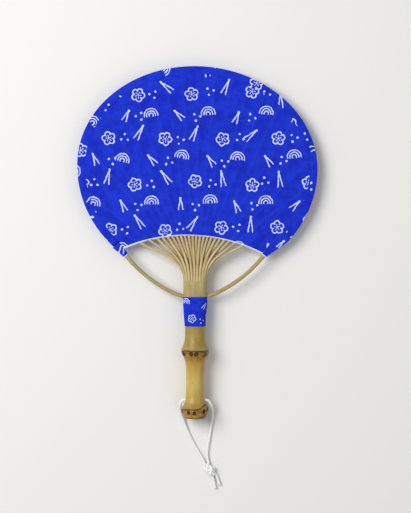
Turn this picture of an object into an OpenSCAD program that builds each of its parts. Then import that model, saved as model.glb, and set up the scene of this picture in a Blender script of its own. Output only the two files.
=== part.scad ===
// Round uchiwa fan: one bamboo culm split into ribs, a bow, two sheets of paper and a hanging cord.
// The fan lies level, face up, with its head towards +Y and its handle towards -Y.
// The origin is on the table, under the middle of the fan without its cord.

/* [Head] */
// Width of the head across its bound rim
head_w = 246; // [225:1:265]
// Height of the head from its widest line up to the top of the rim
head_up = 103; // [90:1:115]
// Height of the head from its widest line down to the foot of its full oval
head_down = 115; // [108:1:122]
// Lean of the head to the right of the handle's line, in degrees
head_lean = 4; // [-5:0.5:5]
// Height of the head's widest line above the butt of the handle
head_rise = 257; // [250:1:270]

/* [Paper] */
// Thickness of each sheet of paper
paper_t = 0.2; // [0.15:0.05:0.4]
// Drop from the widest line to the crown of the paper's lower edge
edge_drop = 70; // [60:1:76]
// Radius of the paper's lower edge
edge_r = 165; // [150:1:200]
// Lean of the paper's lower edge, in degrees
edge_lean = 2.5; // [-4:0.5:4]
// Width of the rim binding on each face
binding_w = 8; // [5:0.5:12]
// Thickness of the rim binding
binding_t = 0.2; // [0.15:0.05:0.4]

/* [Ribs] */
// Number of ribs on each side of the split culm
rib_pairs = 11; // [8:1:12]
// Width of a rib in the window
rib_w = 2.5; // [1.8:0.1:2.7]
// Width of a rib at its tip
rib_tip_w = 1.8; // [1.2:0.1:2.4]
// Thickness of a rib between the papers
rib_t = 1.2; // [0.8:0.1:1.6]
// Half angle that the rib tips take up round the head
rib_spread = 116; // [100:1:118]
// Turn of the fan of ribs to the left, against the lean of the head, in degrees
rib_turn = 7; // [-2:0.5:8]
// Distance of the rib tips inside the rim
rib_margin = 3; // [2:0.5:8]
// Slit between neighbouring ribs where they leave the neck
rib_slit = 0.15; // [0.1:0.05:0.4]
// Height above the neck at which the ribs fan out
fan_h = 16; // [14:1:22]

/* [Neck] */
// Width of the neck
neck_w = 24; // [22:0.5:27]
// Depth of the neck from front to back
neck_d = 14.4; // [13:0.2:16]
// Wall of the neck
neck_wall = 1.6; // [1.2:0.1:2.2]
// Height of the neck's top above the bow
neck_above = 16.7; // [13:0.1:24]

/* [Handle] */
// Offset of the handle to the left of the head's middle
handle_off = 2.4; // [0:0.2:5]
// Radius of the culm at its narrowest
stem_r = 9.3; // [8.5:0.1:10.5]
// Wall of the culm
culm_wall = 3; // [2:0.2:4]
// Height of the middle node above the butt
mid_node_h = 68.5; // [60:0.5:74]
// Radius of the middle node
mid_node_r = 14; // [12.5:0.1:16]
// Height of the lower node above the butt
low_node_h = 10; // [8:0.5:12]
// Radius of the lower node
low_node_r = 13.5; // [12:0.1:14.5]

/* [Waist band] */
// Height of the band's upper edge above the bow's middle line
band_above = 0.7; // [0.2:0.1:1.5]
// Width of the band along the handle
band_w = 30; // [26:0.5:34]
// Thickness of the band
band_t = 0.25; // [0.15:0.05:0.4]

/* [Bow] */
// Diameter of the bow
bow_d = 4; // [3:0.1:5]
// Height of the bow above the butt where it passes through the neck
bow_h = 123.3; // [118:0.1:128]
// Turn of the bow's tight middle arc on each side, in degrees
bow_turn = 25.5; // [20:0.5:30]
// Turn of the bow at its tips, in degrees
bow_tip_turn = 51.5; // [46:0.5:56]
// Angle round the head at which the bow goes under the paper
ear_angle = 35.8; // [34:0.1:38]
// Distance of the bow's middle line inside the rim there
ear_inset = 3; // [2.5:0.1:5]
// Length of the bow under the paper on each side
bow_hidden = 31; // [24:1:34]
// Length of the paper ear that wraps the bow
ear_l = 15; // [10:1:20]
// Thickness of the ear round the bow
ear_t = 0.5; // [0.3:0.1:0.8]
// Spread of the left ear's outer side from the bow, in degrees
ear_flare_left = 12.5; // [8:0.5:16]
// Spread of the right ear's outer side from the bow, in degrees
ear_flare_right = 17; // [10:0.5:20]

/* [Thread] */
// Diameter of the weaving thread
thread_d = 0.7; // [0.5:0.1:1]

/* [Cord] */
// Diameter of the hanging cord
cord_d = 2.8; // [2:0.1:3.2]
// Diameter of the cross hole for the cord
cord_hole_d = 3.4; // [3.3:0.1:4]
// Height of the cross hole above the butt
cord_hole_h = 18.7; // [18:0.1:22]
// Width of the knot
knot_w = 12; // [10:0.5:14]

/* [Fit] */
// Clearance of a piece in the hole or notch it passes through
fit = 0.1; // [0.05:0.05:0.2]

/* [Hidden] */

$fn = 64;
whole_turn = 360;
half_quarter = whole_turn / 8;
outline_step = 3;
over = 1;

head_reach = norm([head_w / 2 * sin(head_lean), head_up * cos(head_lean)]);
total_l = head_rise + head_reach;
butt_y = -total_l / 2;
head_y = butt_y + head_rise;
handle_x = -handle_off;
axis_z = max(mid_node_r, low_node_r);

// Names of the ribs, from left to right across the head
function rib_name(i) = str("rib_", i < 9 ? "0" : "", i + 1);

// A point turned clockwise by an angle
function lean(p, a) = [p[0] * cos(a) + p[1] * sin(a), p[1] * cos(a) - p[0] * sin(a)];

// A point of the head's rim, at an angle from its top, some way inside the bound edge
function rim_point(a, inset) =
    [0, head_y] + lean([(head_w / 2 - inset) * sin(a),
                        ((cos(a) > 0 ? head_up : head_down) - inset) * cos(a)], head_lean);

function smooth(t) = t <= 0 ? 0 : t >= 1 ? 1 : t * t * (3 - 2 * t);
function mix(a, b, t) = a * (1 - t) + b * t;

// Lower edge of the paper
edge_reach = edge_drop + edge_r;
edge_centre = [-edge_reach * sin(edge_lean), head_y - edge_reach * cos(edge_lean)];

// Neck: an oval of two half rounds joined by flats
neck_r = neck_d / 2;
neck_flat = neck_w - neck_d;
neck_top = bow_h + neck_above;
neck_y = butt_y + neck_top;
neck_mid_r = neck_r - neck_wall / 2;
neck_half_run = PI * neck_mid_r + neck_flat;

// Bow: a tight middle arc, a wide arc on each side, then a straight tip under the paper
bow_y = butt_y + bow_h;
ear_dx = (head_w / 2 - ear_inset) * sin(ear_angle);
ear_y = head_y - (head_down - ear_inset) * cos(ear_angle);
ear_dy = ear_y - bow_y;
mid_run = sin(bow_turn);
mid_lift = 1 - cos(bow_turn);
side_run = sin(bow_tip_turn) - sin(bow_turn);
side_lift = cos(bow_turn) - cos(bow_tip_turn);
bow_det = mid_run * side_lift - side_run * mid_lift;
bow_mid_r = (ear_dx * side_lift - ear_dy * side_run) / bow_det;
bow_side_r = (ear_dy * mid_run - ear_dx * mid_lift) / bow_det;
tongue_w = 3;
ear_w = bow_d + 2 * (fit + ear_t);
trim_l = 60;
slice = 0.2;
function ear_flare(side) = side < 0 ? ear_flare_left : ear_flare_right;

// Half thickness of the head, from its middle plane
paper_z = rib_t / 2;
face_z = paper_z + paper_t;
bound_z = face_z + binding_t;

// A rib runs up from the neck, bends once and goes straight to the rim.
// The ribs leave the neck by turns from its front and its back. They draw together into two layers,
// and settle in one plane by the paper's edge.
rib_count = 2 * rib_pairs;
rib_bunch = 0.25;
least_turn = 0.01;
bend_steps = 8;
close_steps = 8;
draw_mid = 0.42;
draw_side = 1.2;
layer_z = rib_t / 2 + 0.05;
settle_from = 0.7;

neck_pitch = neck_half_run / rib_pairs;
rib_half = (neck_pitch - rib_slit) / 2;
close_r = edge_r - 3 * thread_d;

// A point of the neck's oval at a run from its left side, as [x, z]
function arc_angle(run) = run / neck_mid_r * 180 / PI;
function oval_point(run, r) =
    let (quarter = PI * neck_mid_r / 2, past = run - quarter)
    run < quarter ? [-neck_flat / 2 - r * cos(arc_angle(run)), r * sin(arc_angle(run))]
    : past < neck_flat ? [past - neck_flat / 2, r]
    : [neck_flat / 2 + r * sin(arc_angle(past - neck_flat)), r * cos(arc_angle(past - neck_flat))];

// Distance along a ray from inside a circle round the edge's centre to the circle
function ray_to_circle(from, way, r) =
    let (w = from - edge_centre, b = w * way)
    sqrt(b * b - w * w + r * r) - b;

function rib_run(i) = (i / 2 + 0.25) * neck_pitch;
function rib_face(i) = i % 2 == 0 ? 1 : -1;
function rib_share(i) = (2 * i - rib_count + 1) / (rib_count - 1);
function rib_tip(i) =
    let (s = rib_share(i))
    rim_point(rib_spread * (s * (1 - rib_bunch) + rib_bunch * pow(s, 3)) - rib_turn, rib_margin);
function rib_root(i) = [handle_x + oval_point(rib_run(i), neck_mid_r)[0], neck_y];
function rib_knee(i) = rib_root(i) + [0, fan_h];
function rib_way(i) = let (d = rib_tip(i) - rib_knee(i)) d / norm(d);
function rib_angle(i) = let (d = rib_way(i)) atan2(d[0], d[1]);

// How far a rib has drawn in to its layer. Those in the middle draw in sooner than those at the sides.
function drawn(i, run) =
    let (reach = mix(draw_mid, draw_side, smooth(abs(rib_share(i)))))
    smooth(run / reach) / smooth(1 / reach);
function settled(run) = smooth((run - settle_from) / (1 - settle_from));

// Corners of a rib where it leaves the neck, about its own middle
function root_corners(i) =
    let (run = rib_run(i), mid = oval_point(run, neck_mid_r), inner_r = neck_r - neck_wall)
    [oval_point(run - rib_half, neck_r) - mid, oval_point(run + rib_half, neck_r) - mid,
     oval_point(run + rib_half, inner_r) - mid, oval_point(run - rib_half, inner_r) - mid];

// Corners of the flat rib, in the order that turns it least from the neck
function flat_corners(i, w) =
    let (run = rib_run(i),
         near_left = arc_angle(run) < half_quarter,
         near_right = arc_angle(neck_half_run - run) < half_quarter,
         turn = near_left ? 3 : near_right ? 1 : 0,
         c = [[-w, rib_t] / 2, [w, rib_t] / 2, [w, -rib_t] / 2, [-w, -rib_t] / 2])
    [for (k = [0:3]) c[(k + turn) % 4]];

// One cross-section of a rib: its place, its heading, its share of the way to the paper, its width
function rib_section(i, at, angle, run, w) =
    let (root = root_corners(i), flat = flat_corners(i, w), face = rib_face(i), in = drawn(i, run),
         lift = mix(oval_point(rib_run(i), neck_mid_r)[1], layer_z, in) * (1 - settled(run)),
         ring = [for (k = [0:3])
                 let (c = mix(root[k], flat[k], in))
                 [at[0] + c[0] * cos(angle), at[1] - c[0] * sin(angle), axis_z + face * (lift + c[1])]])
    face > 0 ? ring : [for (k = [3:-1:0]) ring[k]];

function rib_sections(i) =
    let (root = rib_root(i), knee = rib_knee(i), way = rib_way(i), angle = rib_angle(i),
         turn = max(abs(angle), least_turn), side = sign(angle),
         bend_r = fan_h / tan(turn / 2),
         bend_l = bend_r * turn * PI / 180,
         close_l = ray_to_circle(knee, way, close_r) - fan_h,
         tip_l = norm(rib_tip(i) - knee) - fan_h,
         start = knee + way * fan_h)
    concat(
        [for (k = [0:bend_steps])
         let (a = turn * k / bend_steps, run = bend_l * k / bend_steps / (bend_l + close_l))
         rib_section(i, root + bend_r * [side * (1 - cos(a)), sin(a)], side * a, run, rib_w)],
        [for (k = [1:close_steps])
         let (l = close_l * k / close_steps, run = (bend_l + l) / (bend_l + close_l))
         rib_section(i, start + way * l, angle, run, rib_w)],
        [rib_section(i, start + way * tip_l, angle, 1, rib_tip_w)]);

// A solid through a row of rings with as many points each
module sweep(rings) {
    n = len(rings[0]);
    last = len(rings) - 1;
    polyhedron(
        points = [for (ring = rings, p = ring) p],
        faces = concat(
            [for (k = [1:n - 2]) [0, k, k + 1]],
            [for (k = [1:n - 2]) [last * n, last * n + k + 1, last * n + k]],
            [for (j = [0:last - 1], k = [0:n - 1])
             let (a = j * n + k, b = j * n + (k + 1) % n)
             each [[a, a + n, b + n], [a, b + n, b]]]),
        convexity = 4);
}

function unit(v) = v / norm(v);

// Rings of a round tube along a route
function tube_rings(route, d, sides) =
    let (last = len(route) - 1)
    [for (j = [0:last])
     let (t = unit(route[min(j + 1, last)] - route[max(j - 1, 0)]),
          a = unit(cross(t, [0, 0, 1])),
          b = cross(a, t))
     [for (k = [0:sides - 1])
      route[j] + d / 2 * (a * cos(whole_turn * k / sides) - b * sin(whole_turn * k / sides))]];

// The head's oval, drawn in straight towards each ear
module head_outline(inset) {
    difference() {
        polygon([for (a = [0:outline_step:whole_turn - outline_step]) rim_point(a, inset)]);
        for (side = [-1, 1]) at_ear_flat(side) {
            side_y = inset / cos(ear_flare(side)) - ear_w / 2;
            polygon([[-trim_l, -trim_l], [-trim_l, side_y], [0, side_y],
                     [trim_l, side_y - trim_l * tan(ear_flare(side))], [trim_l, -trim_l]]);
        }
    }
}

module below_edge() {
    translate(edge_centre) circle(r = edge_r, $fn = 180);
}

// Local frame of a bow tip: x runs from the ear's mouth along the bow under the paper, -y points outwards
module at_ear_flat(side) {
    translate([handle_x, 0]) mirror([side < 0 ? 1 : 0, 0]) translate([ear_dx, ear_y])
        rotate(bow_tip_turn) children();
}

module at_ear(side) {
    translate([0, 0, axis_z]) at_ear_flat(side) children();
}

// Room for an ear in the paper, open to the lower edge and outwards, with more room inwards if asked
module ear_notch(side, inside) {
    open_l = 12;
    at_ear(side) translate([-open_l, -trim_l, -axis_z])
        cube([open_l + ear_l + fit, trim_l + ear_w / 2 + fit + inside, 2 * axis_z]);
}

module paper_sheet(low_z) {
    difference() {
        translate([0, 0, low_z]) linear_extrude(paper_t) difference() {
            head_outline(binding_t);
            below_edge();
        }
        ear_notch(-1, 0);
        ear_notch(1, 0);
    }
}

module front_paper() {
    color("royalblue") paper_sheet(axis_z + paper_z);
}

module back_paper() {
    color("royalblue") paper_sheet(axis_z - face_z);
}

// A strip folded over the rim: a face on each side and the wrapped edge
module rim_binding() {
    color("mediumblue") difference() {
        translate([0, 0, axis_z - bound_z]) linear_extrude(2 * bound_z) difference() {
            head_outline(0);
            below_edge();
        }
        translate([0, 0, axis_z - face_z]) linear_extrude(2 * face_z) head_outline(binding_t);
        translate([0, 0, axis_z - bound_z - over])
            linear_extrude(2 * (bound_z + over)) head_outline(binding_w);
        ear_notch(-1, binding_w);
        ear_notch(1, binding_w);
    }
}

module rib(i) {
    color("burlywood") sweep(rib_sections(i));
}

// Culm radius at a height above the butt. It flares from the middle of its length and swells at two nodes.
low_flare = 0.46;
high_flare = 0.28;
swell_power = 1.7;
mid_swell = [7, 8.5];
low_swell = [8.4, 5.2];
node_span = mid_node_h - low_node_h;
function stem_at(s) =
    let (off = (s - low_node_h) / node_span * 2 - 1)
    stem_r + (s < mid_node_h ? low_flare : high_flare) * off * off;
function swell(s, at, r, reach) =
    (r - stem_at(at)) * exp(-pow(abs(s - at) / reach[s < at ? 0 : 1], swell_power));
function culm_r(s) =
    stem_at(s) + swell(s, mid_node_h, mid_node_r, mid_swell) + swell(s, low_node_h, low_node_r, low_swell);

profile_step = 1.5;
band_low = bow_h + band_above - band_w;
neck_low = band_low;
oval_below = 6;
oval_low = bow_h - oval_below;
septum_t = 3;
seam = 0.15;

module along_handle(h) {
    translate([handle_x, butt_y + h, axis_z]) rotate([-90, 0, 0]) children();
}

// The round culm up to the waist band
module culm_round() {
    heights = [for (s = [0:profile_step:neck_low - profile_step / 2]) s];
    along_handle(0) rotate_extrude() polygon(concat(
        [[0, 0]], [for (s = heights) [culm_r(s), s]], [[culm_r(neck_low), neck_low], [0, neck_low]]));
}

// An oval slab across the neck, drawn in by a wall
module oval_slab(h, wall, t) {
    along_handle(h) linear_extrude(t) {
        for (side = [-1, 1]) translate([side * neck_flat / 2, 0]) circle(r = neck_r - wall, $fn = 48);
        square([neck_flat, 2 * (neck_r - wall)], center = true);
    }
}

// The neck goes from the round culm to an oval below the bow, and keeps it up to the ribs
module neck_shape(grow, top) {
    hull() {
        along_handle(neck_low - over) linear_extrude(slice)
            circle(r = culm_r(neck_low) - seam + grow, $fn = 48);
        oval_slab(oval_low, seam - grow, slice);
    }
    oval_slab(oval_low - over, -grow, top - oval_low + over);
}

module culm_handle() {
    hollow_r = stem_r - culm_wall;
    color("darkkhaki") difference() {
        union() {
            culm_round();
            neck_shape(0, neck_top);
        }
        along_handle(low_node_h + septum_t / 2)
            cylinder(r = hollow_r, h = mid_node_h - low_node_h - septum_t);
        along_handle(mid_node_h + septum_t / 2)
            cylinder(r = hollow_r, h = neck_low - mid_node_h - septum_t / 2);
        hull() {
            along_handle(neck_low - 2 * over) cylinder(r = hollow_r - seam, h = slice, $fn = 48);
            oval_slab(oval_low, neck_wall + seam, slice);
        }
        oval_slab(oval_low - over, neck_wall, neck_top - oval_low + 2 * over);
        translate([handle_x, hole_y, axis_z]) rotate([0, 90, 0])
            cylinder(d = cord_hole_d, h = 4 * stem_r, center = true);
        bow_hole();
    }
}

// The round hole that the bow takes through the neck and the band
module bow_hole() {
    d = bow_d + 2 * fit;
    less_r = bow_side_r - bow_mid_r;
    side_centre = [-less_r * sin(bow_turn), bow_mid_r + less_r * cos(bow_turn)];
    translate([handle_x, bow_y, axis_z]) {
        translate([0, bow_mid_r, 0]) rotate([0, 0, -90 - bow_turn])
            rotate_extrude(angle = 2 * bow_turn) translate([bow_mid_r, 0]) circle(d = d, $fn = 32);
        for (side = [0, 1]) mirror([side, 0, 0]) translate(side_centre) rotate([0, 0, bow_turn - 90])
            rotate_extrude(angle = bow_tip_turn - bow_turn)
                translate([bow_side_r, 0]) circle(d = d, $fn = 32);
    }
}

// Points of the bow's middle line on its right half, from the middle of the neck
function bow_mid_at(a) = bow_mid_r * [sin(a), 1 - cos(a)];
function bow_side_at(a) =
    bow_mid_at(bow_turn) + bow_side_r * [sin(a) - sin(bow_turn), cos(bow_turn) - cos(a)];
function bow_tip_at(l) = [ear_dx, ear_dy] + l * [cos(bow_tip_turn), sin(bow_tip_turn)];

// Stations along the bow: place, heading, width, thickness.
// Its tips thin to flat tongues between the papers.
bow_steps = 10;
bow_sides = 16;
function bow_right_half() = concat(
    [for (k = [0:bow_steps]) let (a = bow_turn * k / bow_steps) [bow_mid_at(a), a, bow_d, bow_d]],
    [for (k = [1:bow_steps])
     let (a = mix(bow_turn, bow_tip_turn, k / bow_steps)) [bow_side_at(a), a, bow_d, bow_d]],
    [for (l = [ear_l, bow_hidden]) [bow_tip_at(l), bow_tip_turn, tongue_w, rib_t]]);
function bow_stations() =
    let (right = bow_right_half())
    concat(
        [for (k = [len(right) - 1:-1:1]) let (s = right[k]) [[-s[0][0], s[0][1]], -s[1], s[2], s[3]]],
        right);
function bow_ring(s) =
    [for (k = [0:bow_sides - 1])
     let (a = whole_turn * k / bow_sides, out = s[2] / 2 * sin(a))
     [handle_x + s[0][0] + out * sin(s[1]), bow_y + s[0][1] - out * cos(s[1]), axis_z + s[3] / 2 * cos(a)]];

// Room for the bow's taper inside an ear
module taper_room() {
    hull() {
        rotate([0, 90, 0]) translate([0, 0, -slice]) cylinder(d = bow_d + 2 * fit, h = slice, $fn = 32);
        translate([ear_l, -tongue_w / 2 - fit, -rib_t / 2 - fit])
            cube([slice, tongue_w + 2 * fit, rib_t + 2 * fit]);
    }
}

module bow() {
    color("tan") sweep([for (s = bow_stations()) bow_ring(s)]);
}

// The ear is a sleeve of pasted paper round the bow's taper
module ear_strip(side) {
    flare_w = ear_l * tan(ear_flare(side));
    color("mediumblue") at_ear(side) difference() {
        hull() {
            rotate([0, 90, 0]) cylinder(d = ear_w, h = slice, $fn = 32);
            translate([ear_l - slice, -ear_w / 2 - flare_w, -bound_z])
                cube([slice, ear_w + flare_w, 2 * bound_z]);
        }
        taper_room();
    }
}

module ear_strip_left() {
    ear_strip(-1);
}

module ear_strip_right() {
    ear_strip(1);
}

// The printed paper strip round the waist, notched where the bow leaves the neck
module waist_band() {
    color("mediumblue") difference() {
        intersection() {
            neck_shape(fit + band_t, band_low + band_w);
            along_handle(band_low + slice) cylinder(r = neck_w, h = band_w - slice);
        }
        neck_shape(fit, neck_top);
        bow_hole();
    }
}

// The thread runs just below the paper's edge, over the front ribs and under the rear ones
thread_r = edge_r - thread_d / 2 - fit;
thread_lift = rib_t / 2 + thread_d / 2 + fit;
function thread_angle(p) = let (d = p - edge_centre) atan2(d[0], d[1]);
function thread_point(a, z) =
    [edge_centre[0] + thread_r * sin(a), edge_centre[1] + thread_r * cos(a), axis_z + z];
function crossing(i) = rib_knee(i) + rib_way(i) * ray_to_circle(rib_knee(i), rib_way(i), thread_r);
function crossing_half(i) =
    let (a = thread_angle(crossing(i)))
    (rib_w / 2 + thread_d / 2) / cos(rib_angle(i) - a) / thread_r * 180 / PI;
function ear_mouth(side) = [handle_x + side * ear_dx, ear_y];
function thread_end(side) =
    let (way = [side * cos(bow_tip_turn), sin(bow_tip_turn)],
         out = [-side * sin(bow_tip_turn), cos(bow_tip_turn)],
         from = ear_mouth(side) + out * (ear_w / 2 + thread_d / 2 + fit))
    from + way * ray_to_circle(from, way, thread_r);

module weave_thread() {
    first = thread_angle(thread_end(-1));
    last = thread_angle(thread_end(1));
    spans = [for (i = [0:rib_count - 1])
             let (a = thread_angle(crossing(i)), h = crossing_half(i), z = rib_face(i) * thread_lift)
             each [thread_point(a - h, z), thread_point(a + h, z)]];
    route = concat([thread_point(first, 0)], spans, [thread_point(last, 0)]);
    color("white") sweep(tube_rings(route, thread_d, 6));
}

// Routes of the cord's two strands, from the cross hole to the knot, and of its two tails.
// Each point is right of the handle's line, up from the hole, and a share of the way from table to hole.
left_route = [
    [-10, 0, 1], [-11.4, 0, 1], [-13.5, -1.4, 0.94], [-15, -4.4, 0.82],
    [-15.4, -8.2, 0.64], [-14.8, -12.4, 0.44], [-13.7, -16.8, 0.27], [-12.2, -21.8, 0.13],
    [-10.2, -27.4, 0.05], [-7.7, -33.6, 0.01], [-4.7, -40.1, 0], [-1.2, -46.8, 0],
    [2.6, -53.4, 0], [6.2, -59.5, 0.01], [8.9, -64.6, 0.05], [10.8, -68.6, 0.1]];
right_route = [
    [10, 0, 1], [11.4, 0, 1], [13.8, -1.3, 0.94], [15.8, -4.3, 0.83],
    [17.2, -8.2, 0.65], [17.7, -12.6, 0.45], [17.6, -17.6, 0.27], [17.1, -23.1, 0.13],
    [16.4, -28.8, 0.04], [15.5, -35.1, 0.01], [14.4, -41.8, 0], [13.2, -48.6, 0],
    [12.4, -55.2, 0.01], [12.6, -61.2, 0.05], [13.9, -66.5, 0.1]];
left_tail = [[17.7, -78.6, 0.1], [18.7, -82.9, 0.03], [19.8, -87.6, 0], [20.8, -92.2, 0]];
right_tail = [[20.6, -77, 0.1], [22.5, -80.6, 0.03], [24, -84.5, 0], [25.1, -88.4, 0]];
knot_at = [16.2, -72.4];
cord_sides = 8;
hole_y = butt_y + cord_hole_h;

module cord_run(route) {
    points = [for (p = route) [handle_x + p[0], hole_y + p[1], mix(cord_d / 2, axis_z, p[2])]];
    color("ivory") sweep(tube_rings(points, cord_d, cord_sides));
}

module cord_left() {
    cord_run(left_route);
}

module cord_right() {
    cord_run(right_route);
}

// The stretch of cord inside the cross hole
module cord_core() {
    color("ivory") translate([handle_x + left_route[0][0], hole_y, axis_z]) rotate([0, 90, 0])
        cylinder(d = cord_d, h = right_route[0][0] - left_route[0][0]);
}

module cord_knot() {
    lobe_r = knot_w / 4;
    color("ivory") translate([handle_x + knot_at[0], hole_y + knot_at[1], lobe_r]) rotate_extrude() {
        translate([lobe_r, 0]) intersection() {
            circle(r = lobe_r);
            translate([0, -lobe_r]) square([lobe_r, 2 * lobe_r]);
        }
        translate([0, -lobe_r]) square([lobe_r, 2 * lobe_r]);
    }
}

module cord_tail_left() {
    cord_run(left_tail);
}

module cord_tail_right() {
    cord_run(right_tail);
}

culm_handle();
for (i = [0:rib_count - 1]) rib(i);
bow();
weave_thread();
front_paper();
back_paper();
rim_binding();
ear_strip_left();
ear_strip_right();
waist_band();
cord_left();
cord_core();
cord_right();
cord_knot();
cord_tail_left();
cord_tail_right();
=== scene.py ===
import bpy
import math
import random
import numpy as np
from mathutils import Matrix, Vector, noise


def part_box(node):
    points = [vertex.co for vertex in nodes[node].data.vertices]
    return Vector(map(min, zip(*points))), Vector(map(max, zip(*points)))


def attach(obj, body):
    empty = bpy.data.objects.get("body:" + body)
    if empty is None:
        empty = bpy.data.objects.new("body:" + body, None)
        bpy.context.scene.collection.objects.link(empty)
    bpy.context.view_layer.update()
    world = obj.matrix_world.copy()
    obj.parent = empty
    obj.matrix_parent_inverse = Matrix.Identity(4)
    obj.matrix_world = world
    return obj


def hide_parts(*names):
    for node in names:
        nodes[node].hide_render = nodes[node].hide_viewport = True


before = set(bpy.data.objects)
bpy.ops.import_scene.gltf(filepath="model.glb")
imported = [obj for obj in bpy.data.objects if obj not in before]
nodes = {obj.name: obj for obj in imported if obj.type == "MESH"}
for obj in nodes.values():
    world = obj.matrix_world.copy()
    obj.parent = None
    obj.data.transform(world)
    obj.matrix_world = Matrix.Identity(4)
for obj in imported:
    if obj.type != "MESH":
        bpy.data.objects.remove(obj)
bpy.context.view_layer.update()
bpy.ops.object.select_all(action="DESELECT")
noise.seed_set(4)  # or else noise_vector follows the clock
print("frame loaded,", len(nodes), "nodes")

# Places taken from the frame
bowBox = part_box("bow")
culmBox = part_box("culm_handle")
axisZ = (bowBox[0].z + bowBox[1].z) / 2  # height of the handle's axis and of the head's plane
handleX = (culmBox[0].x + culmBox[1].x) / 2
buttY = culmBox[0].y
neckY = culmBox[1].y
culmLength = neckY - buttY


def srgb(red, green, blue):
    return tuple(((c / 255 + 0.055) / 1.055) ** 2.4 for c in (red, green, blue)) + (1,)


def smooth(t):
    t = min(max(t, 0), 1)
    return t * t * (3 - 2 * t)


def fade(x, start, over):  # 1 up to start, 0 once past it by over
    return 1 - smooth((x - start) / over)


def hump(x, wide):  # 1 at 0, less on both sides
    return math.exp(-(x / wide) ** 2)


def mix(a, b, t):
    return a * (1 - t) + b * t


# Camera, straight above the fan
shot = {
    "height": 1.5,  # above the head's plane
    "centre": (0.0083, -0.0147),
    "fieldHigh": 0.5248,  # what the frame's long side takes in at that plane
    "sensor": 36,
}
camera = bpy.data.objects.new("camera", bpy.data.cameras.new("camera"))
camera.data.sensor_width = shot["sensor"]
camera.data.lens = shot["sensor"] * shot["height"] / shot["fieldHigh"]
camera.location = (*shot["centre"], axisZ + shot["height"])
scene = bpy.context.scene
scene.collection.objects.link(camera)
scene.camera = camera
scene.view_settings.view_transform = "Standard"
print("camera placed")


# Mesh helpers
def pickOnly(piece):
    bpy.ops.object.select_all(action="DESELECT")
    piece.select_set(True)
    bpy.context.view_layer.objects.active = piece


def editAll(piece):
    pickOnly(piece)
    bpy.ops.object.mode_set(mode="EDIT")
    bpy.ops.mesh.select_all(action="SELECT")


def editLooseEdges(piece):
    editAll(piece)
    bpy.ops.mesh.select_all(action="DESELECT")
    bpy.ops.mesh.select_mode(type="EDGE")
    bpy.ops.mesh.select_non_manifold()


def leaveEdit():  # with all faces turned outwards
    bpy.ops.mesh.select_mode(type="VERT")
    bpy.ops.mesh.select_all(action="SELECT")
    bpy.ops.mesh.normals_make_consistent(inside=False)
    bpy.ops.object.mode_set(mode="OBJECT")


def closeUp(piece):  # welds seams and poles
    editAll(piece)
    bpy.ops.mesh.remove_doubles(threshold=1e-6)
    bpy.ops.mesh.dissolve_degenerate(threshold=1e-7)
    leaveEdit()


def softShade(piece, degrees=35):
    pickOnly(piece)
    bpy.ops.object.shade_smooth_by_angle(angle=math.radians(degrees))


def applyNew(piece, kind, **settings):
    pickOnly(piece)
    modifier = piece.modifiers.new(kind.lower(), kind)
    for key, value in settings.items():
        setattr(modifier, key, value)
    bpy.ops.object.modifier_apply(modifier=modifier.name)


def workCopy(nodeName, newName):  # a merged copy of a CAD node, with four-sided faces where it can
    piece = bpy.data.objects.new(newName, nodes[nodeName].data.copy())
    scene.collection.objects.link(piece)
    piece.data.materials.clear()
    closeUp(piece)
    editAll(piece)
    bpy.ops.mesh.dissolve_limited(angle_limit=math.radians(0.5))
    bpy.ops.mesh.tris_convert_to_quads(face_threshold=math.radians(60), shape_threshold=math.radians(60))
    bpy.ops.object.mode_set(mode="OBJECT")
    return piece


def setUv(mesh, spots):  # a uv for each vertex
    layer = mesh.uv_layers.get("UVMap") or mesh.uv_layers.new(name="UVMap")
    layer.active_render = True
    mesh.uv_layers.active = layer
    for loop in mesh.loops:
        layer.data[loop.index].uv = spots[loop.vertex_index]


def rolledSheet(newName, across, along, place):  # a grid; place(u, v) gives each point and its uv
    bpy.ops.object.select_all(action="DESELECT")
    bpy.ops.mesh.primitive_grid_add(x_subdivisions=across, y_subdivisions=along, size=1)
    piece = bpy.context.object
    piece.name = newName
    spots = []
    for vertex in piece.data.vertices:
        u, v = round((vertex.co.x + 0.5) * across), round((vertex.co.y + 0.5) * along)
        vertex.co, spot = place(u, v)
        spots.append(spot)
    setUv(piece.data, spots)
    closeUp(piece)
    return piece


def cutBy(piece, cutter, operation="DIFFERENCE"):
    applyNew(piece, "BOOLEAN", object=cutter, operation=operation, solver="EXACT")
    bpy.data.objects.remove(cutter)


def markPoints(piece, name, values):  # a number on each vertex, for its material
    piece.data.attributes.new(name, "FLOAT", "POINT")
    piece.data.attributes[name].data.foreach_set("value", values)


def finishPiece(piece, body, material, replaced):
    piece.data.materials.clear()
    piece.data.materials.append(material)
    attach(piece, body)
    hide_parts(replaced)


# Paths: lists of points in metres, with rounded corners and even steps
def roundedPath(points, step):
    points = [np.array(p, float) for p in points]
    ends = [2 * points[0] - points[1]] + points + [2 * points[-1] - points[-2]]
    fine = []
    for a, b, c, d in zip(ends, ends[1:], ends[2:], ends[3:]):
        for t in np.arange(0, 1, 0.05):
            fine.append(0.5 * (2 * b + (c - a) * t + (2 * a - 5 * b + 4 * c - d) * t * t
                               + (3 * b - a - 3 * c + d) * t ** 3))
    fine.append(points[-1])
    return evenPath(np.array(fine), step)


def evenPath(fine, step):
    run = np.concatenate([[0], np.cumsum(np.linalg.norm(np.diff(fine, axis=0), axis=1))])
    count = max(int(run[-1] / step), 4)
    at = np.linspace(0, run[-1], count + 1)
    return np.stack([np.interp(at, run, fine[:, k]) for k in range(3)], axis=1)


def pathLength(path):
    return float(np.linalg.norm(np.diff(path, axis=0), axis=1).sum())


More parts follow.
